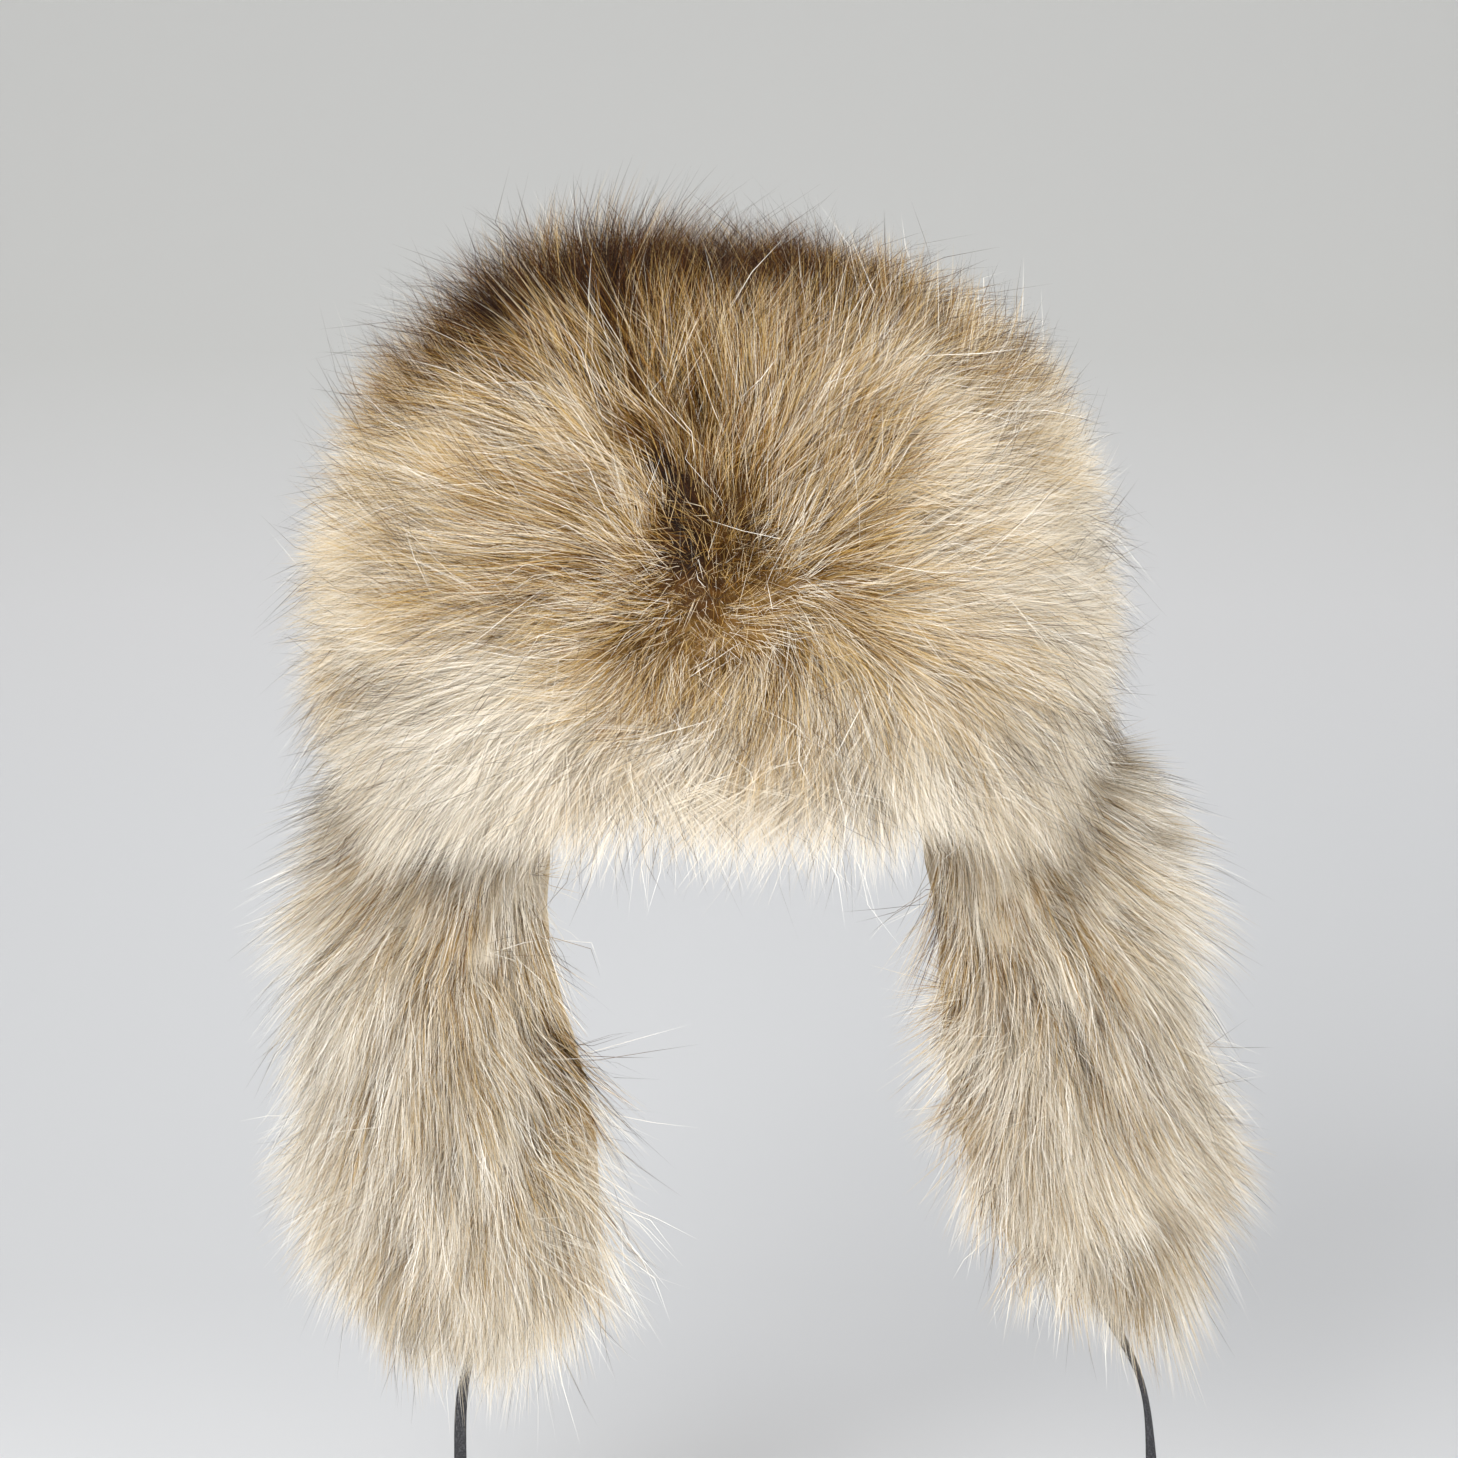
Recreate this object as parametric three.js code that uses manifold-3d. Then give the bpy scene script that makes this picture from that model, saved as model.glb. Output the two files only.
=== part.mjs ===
// A trooper hat of deep fur, in millimetres, with +Z up and the front towards -Y.
// The origin is the highest point of the hollow that takes the head.
// Sides are the wearer's own: right is at -X and left at +X.
import * as THREE from "three";
import { mergeVertices } from "three/addons/utils/BufferGeometryUtils.js";
import Module from "manifold-3d";

const wasm = await Module();
wasm.setup();
const { Manifold, Mesh } = wasm;
const V = (x, y, z) => new THREE.Vector3(x, y, z);
const degrees = (angle) => (angle * Math.PI) / 180;

// Driving dimensions.
const hollow = { width: 160, length: 196, height: 130, napeDrop: 16 };
const wall = 2.4;
const gap = 0.3;
const fur = { crown: 68, front: 64, ear: 56, backing: 0.64, lean: 5 };
const lockWidth = { crown: 35, front: 26, ear: 23 };
const lockPitch = { crown: 34, front: 22.5, ear: 21 };
const grid = { turn: 15, rows: 12, earColumns: 7, earRows: 10 };
const crownSeam = 5 / 12;
const front = { halfTurn: 75, top: 4 / 12, bottom: 1 };
const whorl = { turn: -10, down: 0.6, reach: 75 };
const ear = { frontTurn: 52, backTurn: 140, blendOver: 0.3 };
const tie = { width: 4.8, thickness: 2, sides: 8, sewn: 16, end: -410 };

// The hollow's profile from its top to its edge: reach is a share of the half width,
// drop a share of the height.
const crownProfile = [
  { at: 0.0, reach: 0.0, drop: 0.0 },
  { at: 0.1, reach: 0.24, drop: 0.008 },
  { at: 0.2, reach: 0.46, drop: 0.036 },
  { at: 0.3, reach: 0.65, drop: 0.09 },
  { at: 0.4, reach: 0.8, drop: 0.18 },
  { at: 0.5, reach: 0.905, drop: 0.31 },
  { at: 0.62, reach: 0.965, drop: 0.48 },
  { at: 0.8, reach: 0.995, drop: 0.74 },
  { at: 1.0, reach: 1.0, drop: 1.0 },
];

// Each ear flap from the crown's edge down. width is a share of the flap's width, out and fore
// place its middle in shares of the hollow's half width and half length, face is the angle in
// degrees by which it looks forward, and bow is its bulge as a share of the flap's width. The tie is
// sewn on at tieAcross and hangs outwards by the two lengths of tieSway, halfway down and at its end.
const earFlaps = {
  right: {
    side: -1,
    width: 124,
    length: 200,
    tieAcross: 0.5,
    tieSway: [8, 9],
    sections: [
      { at: 0.0, width: 1.0, out: 1.1, fore: 0.02, face: 12, bow: 0.16 },
      { at: 0.3, width: 1.0, out: 1.2, fore: 0.02, face: 20, bow: 0.14 },
      { at: 0.6, width: 1.0, out: 1.16, fore: 0.05, face: 35, bow: 0.11 },
      { at: 0.82, width: 0.98, out: 1.14, fore: 0.07, face: 39, bow: 0.08 },
      { at: 0.94, width: 0.86, out: 1.17, fore: 0.07, face: 39, bow: 0.05 },
      { at: 1.0, width: 0.66, out: 1.2, fore: 0.07, face: 38, bow: 0.02 },
    ],
  },
  left: {
    side: 1,
    width: 122,
    length: 190,
    tieAcross: 0.55,
    tieSway: [20, 25],
    sections: [
      { at: 0.0, width: 1.0, out: 1.2, fore: 0.03, face: 18, bow: 0.16 },
      { at: 0.3, width: 1.0, out: 1.3, fore: 0.05, face: 23, bow: 0.13 },
      { at: 0.6, width: 0.98, out: 1.37, fore: 0.05, face: 27, bow: 0.1 },
      { at: 0.82, width: 0.96, out: 1.52, fore: 0.05, face: 28, bow: 0.07 },
      { at: 0.94, width: 0.82, out: 1.62, fore: 0.05, face: 28, bow: 0.04 },
      { at: 1.0, width: 0.6, out: 1.67, fore: 0.05, face: 27, bow: 0.02 },
    ],
  },
};

// A column of a table at a place between its rows, on a smooth curve through them.
function column(table, name, at) {
  const last = table.length - 1;
  let i = 0;
  while (i < last - 1 && at > table[i + 1].at) i++;
  const slope = (k) => {
    const a = table[Math.max(k - 1, 0)];
    const b = table[Math.min(k + 1, last)];
    return (b[name] - a[name]) / (b.at - a.at);
  };
  const span = table[i + 1].at - table[i].at;
  const t = THREE.MathUtils.clamp((at - table[i].at) / span, 0, 1);
  return (
    (2 * t ** 3 - 3 * t ** 2 + 1) * table[i][name] +
    (t ** 3 - 2 * t ** 2 + t) * span * slope(i) +
    (3 * t ** 2 - 2 * t ** 3) * table[i + 1][name] +
    (t ** 3 - t ** 2) * span * slope(i + 1)
  );
}

const smooth = (a, b, x) => THREE.MathUtils.smoothstep(x, a, b);

// The same numbers on each run, from 0 to 1.
function seeded(seed) {
  let state = seed;
  return () => {
    state = (state * 1664525 + 1013904223) % 4294967296;
    return state / 4294967296;
  };
}

// Surfaces: each takes a place across (or a turn in degrees from the front) and a place down.
function crownSurface(turn, down) {
  const angle = degrees(turn);
  const reach = column(crownProfile, "reach", down);
  const height = hollow.height + (hollow.napeDrop * (1 - Math.cos(angle))) / 2;
  return V(
    (hollow.width / 2) * reach * Math.sin(angle),
    (-hollow.length / 2) * reach * Math.cos(angle),
    -height * column(crownProfile, "drop", down),
  );
}

function earSurface(flap) {
  return (across, down) => {
    const turn = flap.side * (ear.frontTurn + (ear.backTurn - ear.frontTurn) * across);
    const rim = crownSurface(turn, 1);
    const edge = rim.clone().multiplyScalar(1 + wall / 2 / (hollow.width / 2));
    const row = (name) => column(flap.sections, name, down);
    const face = degrees(row("face"));
    const out = V(flap.side * Math.cos(face), -Math.sin(face), 0);
    const back = V(flap.side * Math.sin(face), Math.cos(face), 0);
    const bulge = row("bow") * flap.width * (1 - (2 * across - 1) ** 2);
    const panel = V((flap.side * row("out") * hollow.width) / 2, (row("fore") * hollow.length) / 2, 0)
      .addScaledVector(back, (across - 0.5) * row("width") * flap.width)
      .addScaledVector(out, bulge - (row("bow") * flap.width) / 2);
    const share = smooth(0, ear.blendOver, down);
    return V(
      edge.x + (panel.x - edge.x) * share,
      edge.y + (panel.y - edge.y) * share,
      rim.z - gap - flap.length * down,
    );
  };
}

// A surface's point, the way out of it and the way down along it.
function frameAt(surface, side, across, down) {
  const step = 1e-3;
  const low = Math.min(down, 1 - step);
  const wide = surface === crownSurface ? 1 : step;
  const along = surface(across, low + step).sub(surface(across, low));
  const sideways = surface(across + wide, Math.max(low, 0.02)).sub(
    surface(across - wide, Math.max(low, 0.02)),
  );
  const out = along.clone().cross(sideways).normalize().multiplyScalar(side);
  return { point: surface(across, down), out, along: along.normalize() };
}

function solidOf(points, triangles) {
  const geometry = new THREE.BufferGeometry();
  const flat = triangles.flat().flatMap((i) => points[i].toArray());
  geometry.setAttribute("position", new THREE.Float32BufferAttribute(flat, 3));
  const merged = mergeVertices(geometry, 1e-3);
  const index = Array.from(merged.index.array);
  const kept = [];
  for (let i = 0; i < index.length; i += 3) {
    const [a, b, c] = index.slice(i, i + 3);
    if (a !== b && b !== c && c !== a) kept.push(a, b, c);
  }
  const build = (list) =>
    new Manifold(
      new Mesh({
        numProp: 3,
        vertProperties: merged.attributes.position.array,
        triVerts: new Uint32Array(list),
      }),
    );
  const solid = build(kept);
  return solid.volume() < 0 ? build(kept.reverse()) : solid;
}

// A closed sheet between two offsets from a surface. A turn all the way round has no side edges.
function sheet(surface, side, { across, down, inner, outer }) {
  const round = across[1] - across[0] >= 360;
  const crown = surface === crownSurface;
  const columns = crown ? Math.round((across[1] - across[0]) / grid.turn) : grid.earColumns;
  const rows = Math.round((down[1] - down[0]) * (crown ? grid.rows : grid.earRows));
  const points = [];
  for (const offset of [inner, outer])
    for (let j = 0; j <= rows; j++)
      for (let i = 0; i <= columns; i++) {
        const a = across[0] + ((across[1] - across[0]) * (round ? i % columns : i)) / columns;
        const d = down[0] + ((down[1] - down[0]) * j) / rows;
        const { point, out } = frameAt(surface, side, a, d);
        if (d === 0 && round) out.set(0, 0, 1);
        points.push(point.addScaledVector(out, offset(i / columns, j / rows)));
      }
  const at = (layer, i, j) => layer * (rows + 1) * (columns + 1) + j * (columns + 1) + i;
  const triangles = [];
  const quad = (a, b, c, d) => triangles.push([a, b, c], [a, c, d]);
  for (let j = 0; j < rows; j++)
    for (let i = 0; i < columns; i++) {
      quad(at(0, i, j), at(0, i + 1, j), at(0, i + 1, j + 1), at(0, i, j + 1));
      quad(at(1, i, j), at(1, i, j + 1), at(1, i + 1, j + 1), at(1, i + 1, j));
    }
  for (let i = 0; i < columns; i++) {
    quad(at(0, i, rows), at(0, i + 1, rows), at(1, i + 1, rows), at(1, i, rows));
    if (!(round && down[0] === 0)) quad(at(0, i + 1, 0), at(0, i, 0), at(1, i, 0), at(1, i + 1, 0));
  }
  if (!round)
    for (let j = 0; j < rows; j++) {
      quad(at(0, 0, j), at(0, 0, j + 1), at(1, 0, j + 1), at(1, 0, j));
      quad(at(0, columns, j + 1), at(0, columns, j), at(1, columns, j), at(1, columns, j + 1));
    }
  return solidOf(points, triangles);
}

// One lock: a three-sided blade with its ridge outwards, from a root in the backing to a point.
function lock({ root, out, tip, width }) {
  const run = tip.clone().sub(root).normalize();
  const across = run.clone().cross(out);
  if (across.length() < 0.05) across.set(run.y, -run.x, 0.01);
  across.normalize();
  const ridge = across.clone().cross(run).normalize();
  if (ridge.dot(out) < 0) ridge.negate();
  const corner = (a, b) =>
    root.clone().addScaledVector(across, (a * width) / 2).addScaledVector(ridge, b * width);
  const points = [corner(-1, -0.12), corner(1, -0.12), corner(0, 0.42), tip];
  return solidOf(points, [[0, 1, 2], [1, 0, 3], [2, 1, 3], [0, 2, 3]]);
}

// Where the crown's hair runs: away from the whorl in front, and down at the back.
const whorlAt = crownSurface(whorl.turn, whorl.down);
function crownRun(point, out, along) {
  const away = point.clone().sub(whorlAt);
  const far = away.length();
  const behind = smooth(-0.2, 0.7, point.y / (hollow.length / 2));
  const run = away.normalize().multiplyScalar(1 - behind).addScaledVector(along, behind);
  run.addScaledVector(out, -run.dot(out)).normalize();
  return { run, lively: smooth(0, whorl.reach, far) };
}

// Locks of crown fur over a range of turns and a range down, in staggered rows.
function crownLocks({ turns, down, depth, seed, raise, pitch, wide }) {
  const random = seeded(seed);
  const made = [];
  const arc = crownSurface(0, down[0]).distanceTo(crownSurface(0, down[1]));
  const rows = Math.max(1, Math.round((arc * 1.25) / pitch));
  for (let j = 0; j < rows; j++) {
    const d = down[0] + ((down[1] - down[0]) * (j + 0.5)) / rows;
    const side = crownSurface(90, d).x;
    const around = (side + fur.crown * 0.3) * degrees(turns[1] - turns[0]);
    const count = Math.max(1, Math.round(around / pitch));
    for (let i = 0; i < count; i++) {
      const share = (i + 0.5 + (random() - 0.5) * 0.35) / count;
      const turn = turns[0] + (turns[1] - turns[0]) * share + (j % 2) * 4;
      const place = THREE.MathUtils.clamp(turn, turns[0] + 3, turns[1] - 3);
      const { point, out, along } = frameAt(crownSurface, 1, place, d);
      const { run, lively } = crownRun(point, out, along);
      const deep = depth * (0.92 + 0.16 * random());
      const tip = point
        .clone()
        .addScaledVector(out, raise + deep * (0.9 + 0.04 * lively))
        .addScaledVector(run, deep * (0.32 + 0.36 * lively));
      tip.x -= fur.lean;
      const root = point.addScaledVector(out, raise + deep * 0.4);
      made.push(lock({ root, out, tip, width: wide * (0.85 + 0.3 * random()) }));
    }
  }
  return made;
}

// Joins a backing and its locks, takes off what its neighbours fill, and keeps the largest piece.
function furBody(pieces, neighbours = []) {
  let body = Manifold.union(pieces);
  if (neighbours.length) body = body.subtract(Manifold.union(neighbours));
  const bodies = body.simplify(0.05).decompose();
  return bodies.reduce((a, b) => (b.volume() > a.volume() ? b : a));
}

const always = (value) => () => value;
const rounded = (edge) => (i, j) => edge + (1 - edge) * smooth(0, 0.16, Math.min(i, 1 - i, 1 - j));

// The crown: a top and a band round the sides, sewn edge to edge into one hollow wall.
const crownTopWall = sheet(crownSurface, 1, {
  across: [0, 360],
  down: [0, crownSeam - gap / hollow.height],
  inner: always(0),
  outer: always(wall),
});
const crownSideWall = sheet(crownSurface, 1, {
  across: [0, 360],
  down: [crownSeam, 1],
  inner: always(0),
  outer: always(wall),
});

// The flap turned up over the crown's front.
const flapInner = wall + gap;
const flapOuter = flapInner + wall;
const frontFlapWall = sheet(crownSurface, 1, {
  across: [-front.halfTurn, front.halfTurn],
  down: [front.top, front.bottom],
  inner: always(flapInner),
  outer: always(flapOuter),
});

function frontFlapPieces() {
  const edge = rounded(0.35);
  const backing = sheet(crownSurface, 1, {
    across: [-front.halfTurn, front.halfTurn],
    down: [front.top, front.bottom],
    inner: always(flapOuter + gap),
    outer: (i, j) => flapOuter + gap + fur.front * fur.backing * edge(i, j),
  });
  const locks = crownLocks({
    turns: [-front.halfTurn, front.halfTurn],
    down: [front.top + 0.02, front.bottom],
    depth: fur.front,
    seed: 11,
    raise: flapOuter - wall,
    pitch: lockPitch.front,
    wide: lockWidth.front,
  });
  return [backing, ...locks];
}
const frontFlapFur = furBody(frontFlapPieces());

// The crown's own fur: all round over the top, and below that round the sides and the back.
const crownPieces = [
  sheet(crownSurface, 1, {
    across: [0, 360],
    down: [0, front.top],
    inner: always(wall + gap),
    outer: always(wall + fur.crown * fur.backing),
  }),
  sheet(crownSurface, 1, {
    across: [front.halfTurn, 360 - front.halfTurn],
    down: [front.top - 1 / 12, 1],
    inner: always(wall + gap),
    outer: (i, j) => wall + fur.crown * fur.backing * (1 - 0.5 * smooth(0.7, 1, j)),
  }),
  ...crownLocks({
    turns: [0, 360],
    down: [0.04, front.top],
    depth: fur.crown,
    seed: 23,
    raise: wall,
    pitch: lockPitch.crown,
    wide: lockWidth.crown,
  }),
  ...crownLocks({
    turns: [front.halfTurn + 4, 356 - front.halfTurn],
    down: [front.top - 0.02, 1],
    depth: fur.crown,
    seed: 37,
    raise: wall,
    pitch: lockPitch.crown,
    wide: lockWidth.crown,
  }),
];
// A thin skin round a solid, so that what is cut with it keeps clear of the solid.
function withClearance(solid) {
  const shifts = [[1, 0, 0], [-1, 0, 0], [0, 1, 0], [0, -1, 0], [0, 0, 1], [0, 0, -1]];
  return Manifold.union([solid, ...shifts.map((s) => solid.translate(s.map((x) => x * gap)))]);
}
const frontClear = withClearance(Manifold.union([frontFlapFur, frontFlapWall]));
const crownFur = furBody(crownPieces, [frontClear]);
const crownClear = withClearance(crownFur);

// The ear flaps: a hide each, with fur on its outer side.
function earWall(flap) {
  return sheet(earSurface(flap), flap.side, {
    across: [0, 1],
    down: [0, 1],
    inner: always(-wall / 2),
    outer: always(wall / 2),
  });
}

function earFur(flap) {
  const surface = earSurface(flap);
  const edge = rounded(0.4);
  const pieces = [
    sheet(surface, flap.side, {
      across: [0, 1],
      down: [0, 1],
      inner: always(wall / 2 + gap),
      outer: (i, j) => wall / 2 + gap + fur.ear * fur.backing * edge(i, j),
    }),
  ];
  const random = seeded(flap.side + 53);
  const rows = Math.round(flap.length / lockPitch.ear);
  for (let j = 0; j < rows; j++) {
    const down = 0.14 + (0.86 * (j + 0.5)) / rows;
    const width = column(flap.sections, "width", down) * flap.width;
    const count = Math.max(2, Math.round((width * 1.12) / lockPitch.ear));
    for (let i = 0; i < count; i++) {
      const across = (i + 0.5 + (random() - 0.5) * 0.3) / count;
      const { point, out, along } = frameAt(surface, flap.side, across, down);
      const fan = 2 * across - 1;
      const back = V(flap.side * -out.y, flap.side * out.x, 0).normalize();
      const deep = fur.ear * (0.9 + 0.2 * random());
      const last = smooth(0.8, 1, down);
      const tip = point
        .clone()
        .addScaledVector(out, deep * (0.98 - 0.3 * fan ** 2 - 0.34 * last))
        .addScaledVector(along, deep * (0.56 + 0.2 * last))
        .addScaledVector(back, deep * 0.5 * fan);
      const root = point.addScaledVector(out, wall / 2 + deep * 0.3);
      pieces.push(lock({ root, out, tip, width: lockWidth.ear * (0.85 + 0.3 * random()) }));
    }
  }
  const clear = [earWall(flap), tieSolid(flap)].map(withClearance);
  return furBody(pieces, [crownClear, frontClear, ...clear]);
}

// A tie hangs on the inner side of a flap's lower end, sewn over a short length.
function tieMesh(flap) {
  const stand = wall / 2 + gap + tie.thickness / 2 + 0.4;
  const sewn = [1 - tie.sewn / flap.length, 1].map((down) => {
    const { point, out } = frameAt(earSurface(flap), flap.side, flap.tieAcross, down);
    return point.addScaledVector(out, -stand);
  });
  const low = sewn[1];
  const path = new THREE.CatmullRomCurve3(
    [
      ...sewn,
      V(low.x + flap.side * flap.tieSway[0], low.y, (low.z + tie.end) / 2),
      V(low.x + flap.side * flap.tieSway[1], low.y, tie.end),
    ],
    false,
    "centripetal",
  );
  const steps = Math.ceil(path.getLength() / (tie.width * 2));
  const frames = path.computeFrenetFrames(steps, false);
  const { out } = frameAt(earSurface(flap), flap.side, flap.tieAcross, 1);
  const turned = Math.atan2(out.dot(frames.binormals[0]), out.dot(frames.normals[0]));
  const shape = new THREE.Shape();
  for (let k = 0; k < tie.sides; k++) {
    const angle = (2 * Math.PI * (k + 0.5)) / tie.sides;
    const thick = (Math.cos(angle) * tie.thickness) / 2;
    const wide = (Math.sin(angle) * tie.width) / 2;
    const at = [
      thick * Math.cos(turned) - wide * Math.sin(turned),
      thick * Math.sin(turned) + wide * Math.cos(turned),
    ];
    if (k) shape.lineTo(...at);
    else shape.moveTo(...at);
  }
  shape.closePath();
  return new THREE.ExtrudeGeometry(shape, { steps, bevelEnabled: false, extrudePath: path });
}

function tieSolid(flap) {
  const corners = tieMesh(flap).getAttribute("position");
  const points = Array.from({ length: corners.count }, (_, i) => V().fromBufferAttribute(corners, i));
  const triangles = Array.from({ length: corners.count / 3 }, (_, i) => [3 * i, 3 * i + 1, 3 * i + 2]);
  return solidOf(points, triangles);
}

const materials = {
  fur: new THREE.MeshStandardMaterial({ color: 0xb9a283, roughness: 0.9 }),
  hide: new THREE.MeshStandardMaterial({ color: 0xc8b79b, roughness: 0.85 }),
  cord: new THREE.MeshStandardMaterial({ color: 0x26262a, roughness: 0.6 }),
};

const group = new THREE.Group();
function add(name, made, material) {
  let geometry = made;
  if (made instanceof Manifold) {
    const data = made.getMesh();
    geometry = new THREE.BufferGeometry();
    geometry.setAttribute("position", new THREE.BufferAttribute(data.vertProperties, 3));
    geometry.setIndex(new THREE.BufferAttribute(data.triVerts, 1));
    geometry = geometry.toNonIndexed();
  }
  geometry.computeVertexNormals();
  const mesh = new THREE.Mesh(geometry, material);
  mesh.name = name;
  group.add(mesh);
}

add("crown_top_wall", crownTopWall, materials.hide);
add("crown_side_wall", crownSideWall, materials.hide);
add("crown_fur", crownFur, materials.fur);
add("front_flap_wall", frontFlapWall, materials.hide);
add("front_flap_fur", frontFlapFur, materials.fur);
for (const [name, flap] of Object.entries(earFlaps)) {
  add(`ear_flap_${name}_wall`, earWall(flap), materials.hide);
  add(`ear_flap_${name}_fur`, earFur(flap), materials.fur);
  add(`tie_${name}`, tieMesh(flap), materials.cord);
}

export default group;
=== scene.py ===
"""Looks of the trooper hat: fur of tapered strands over an undercoat, hide walls and two dark ties."""

import math
from dataclasses import dataclass

import bpy
import numpy as np
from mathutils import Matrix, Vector, kdtree


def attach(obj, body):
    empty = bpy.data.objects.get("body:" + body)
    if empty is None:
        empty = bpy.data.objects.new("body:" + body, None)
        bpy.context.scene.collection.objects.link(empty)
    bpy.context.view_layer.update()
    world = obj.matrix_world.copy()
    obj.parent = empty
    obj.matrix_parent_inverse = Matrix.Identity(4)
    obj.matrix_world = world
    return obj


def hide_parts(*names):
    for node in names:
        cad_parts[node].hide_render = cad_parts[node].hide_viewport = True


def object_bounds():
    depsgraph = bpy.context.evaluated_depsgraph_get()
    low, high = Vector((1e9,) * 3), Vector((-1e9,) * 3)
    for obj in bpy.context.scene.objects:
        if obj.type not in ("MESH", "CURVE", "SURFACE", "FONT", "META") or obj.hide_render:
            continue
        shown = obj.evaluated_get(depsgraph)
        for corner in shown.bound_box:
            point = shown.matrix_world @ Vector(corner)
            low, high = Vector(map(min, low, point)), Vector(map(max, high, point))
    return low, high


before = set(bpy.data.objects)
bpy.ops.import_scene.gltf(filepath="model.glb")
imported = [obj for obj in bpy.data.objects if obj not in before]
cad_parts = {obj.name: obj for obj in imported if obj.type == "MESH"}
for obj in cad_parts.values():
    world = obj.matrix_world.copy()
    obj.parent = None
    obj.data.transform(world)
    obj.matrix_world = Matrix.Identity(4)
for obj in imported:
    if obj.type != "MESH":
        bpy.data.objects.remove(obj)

cad_box = [list(map(float, corner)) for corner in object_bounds()]
scene = bpy.context.scene
MM = 0.001


# Camera: level with the hat's middle, a little above, through a long lens.
AIM = Vector((-0.002, 0.0, -0.122))
DISTANCE = 1.5
ELEVATION = math.radians(5)
SEEN_HEIGHT = 0.54
SENSOR = 36
VIEW_END = 30

camera = bpy.data.objects.new("camera", bpy.data.cameras.new("camera"))
scene.collection.objects.link(camera)
camera.location = AIM + DISTANCE * Vector((0, -math.cos(ELEVATION), math.sin(ELEVATION)))
camera.rotation_euler = (math.pi / 2 - ELEVATION, 0, 0)
camera.data.sensor_width = SENSOR
camera.data.lens = SENSOR * DISTANCE / SEEN_HEIGHT
camera.data.clip_end = VIEW_END
scene.camera = camera


# Small helpers.
def linear(red, green, blue):
    """A colour given as it looks on a screen, from 0 to 255, in linear light."""
    values = [c / 255 for c in (red, green, blue)]
    return [c / 12.92 if c <= 0.04045 else ((c + 0.055) / 1.055) ** 2.4 for c in values] + [1.0]


def smooth(low, high, x):
    """From 0 at low to 1 at high, level at both ends. Low may be the larger."""
    t = np.clip((x - low) / (high - low), 0, 1)
    return t * t * (3 - 2 * t)


def hill(x, middle, reach):
    """1 at the middle, and next to nothing beyond twice the reach from it."""
    return np.exp(-(((x - middle) / reach) ** 2))


def unit(vectors):
    return vectors / np.maximum(np.linalg.norm(vectors, axis=-1, keepdims=True), 1e-9)


def dot(a, b):
    return (a * b).sum(-1, keepdims=True)


def curve_through(places, values, at):
    """The values at these places, on a smooth curve through the table's rows."""
    places, values = np.asarray(places, float), np.asarray(values, float)
    last = len(places) - 1
    low, high = np.maximum(np.arange(last + 1) - 1, 0), np.minimum(np.arange(last + 1) + 1, last)
    slopes = (values[high] - values[low]) / (places[high] - places[low])
    i = np.clip(np.searchsorted(places, at, side="right") - 1, 0, last - 1)
    span = places[i + 1] - places[i]
    t = np.clip((at - places[i]) / span, 0, 1)
    return (
        (2 * t**3 - 3 * t**2 + 1) * values[i]
        + (t**3 - 2 * t**2 + t) * span * slopes[i]
        + (3 * t**2 - 2 * t**3) * values[i + 1]
        + (t**3 - t**2) * span * slopes[i + 1]
    )


WAVES = 7
WAVE_SUM = 3.2  # the sum of so many waves seldom goes past this


def ripple(points, size, seed):
    """A soft pattern from -1 to 1 over space, with features of about this size in metres."""
    rng = np.random.default_rng(seed)
    total = np.zeros(len(points))
    for _ in range(WAVES):
        way = unit(rng.normal(size=3)) * 2 * math.pi / size * rng.uniform(0.6, 1.4)
        total += np.sin(points @ way + rng.uniform(0, 2 * math.pi))
    return total / WAVE_SUM


# The hat's surfaces, with the sizes and tables of the part, in millimetres.
HOLLOW = {"width": 160, "length": 196, "height": 130, "nape_drop": 16}
WALL = 2.4
GAP = 0.3
CROWN_ROWS = np.array(
    [
        # place, reach, drop
        (0.0, 0.0, 0.0),
        (0.1, 0.24, 0.008),
        (0.2, 0.46, 0.036),
        (0.3, 0.65, 0.09),
        (0.4, 0.8, 0.18),
        (0.5, 0.905, 0.31),
        (0.62, 0.965, 0.48),
        (0.8, 0.995, 0.74),
        (1.0, 1.0, 1.0),
    ]
)
FLAP_TURN = 75  # the front flap reaches this many degrees to each side
FLAP_TOP = 4 / 12  # and starts this share of the way down the crown
EAR_TURNS = (52, 140)  # an ear flap hangs between these turns
EAR_BLEND = 0.3  # and leaves the crown's edge over this share of its length
EARS = {
    "right": {
        "side": -1,
        "slant": 0.0,
        "width": 124,
        "length": 200,
        # place, width, out, fore, face, bow
        "rows": np.array(
            [
                (0.0, 1.0, 1.1, 0.02, 12, 0.16),
                (0.3, 1.0, 1.2, 0.02, 20, 0.14),
                (0.6, 1.0, 1.16, 0.05, 35, 0.11),
                (0.82, 0.98, 1.14, 0.07, 39, 0.08),
                (0.94, 0.86, 1.17, 0.07, 39, 0.05),
                (1.0, 0.66, 1.2, 0.07, 38, 0.02),
            ]
        ),
    },
    "left": {
        "side": 1,
        "slant": 0.7,
        "width": 122,
        "length": 190,
        "rows": np.array(
            [
                (0.0, 1.0, 1.2, 0.03, 18, 0.16),
                (0.3, 1.0, 1.3, 0.05, 23, 0.13),
                (0.6, 0.98, 1.37, 0.05, 27, 0.1),
                (0.82, 0.96, 1.52, 0.05, 28, 0.07),
                (0.94, 0.82, 1.62, 0.05, 28, 0.04),
                (1.0, 0.6, 1.67, 0.05, 27, 0.02),
            ]
        ),
    },
}


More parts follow.
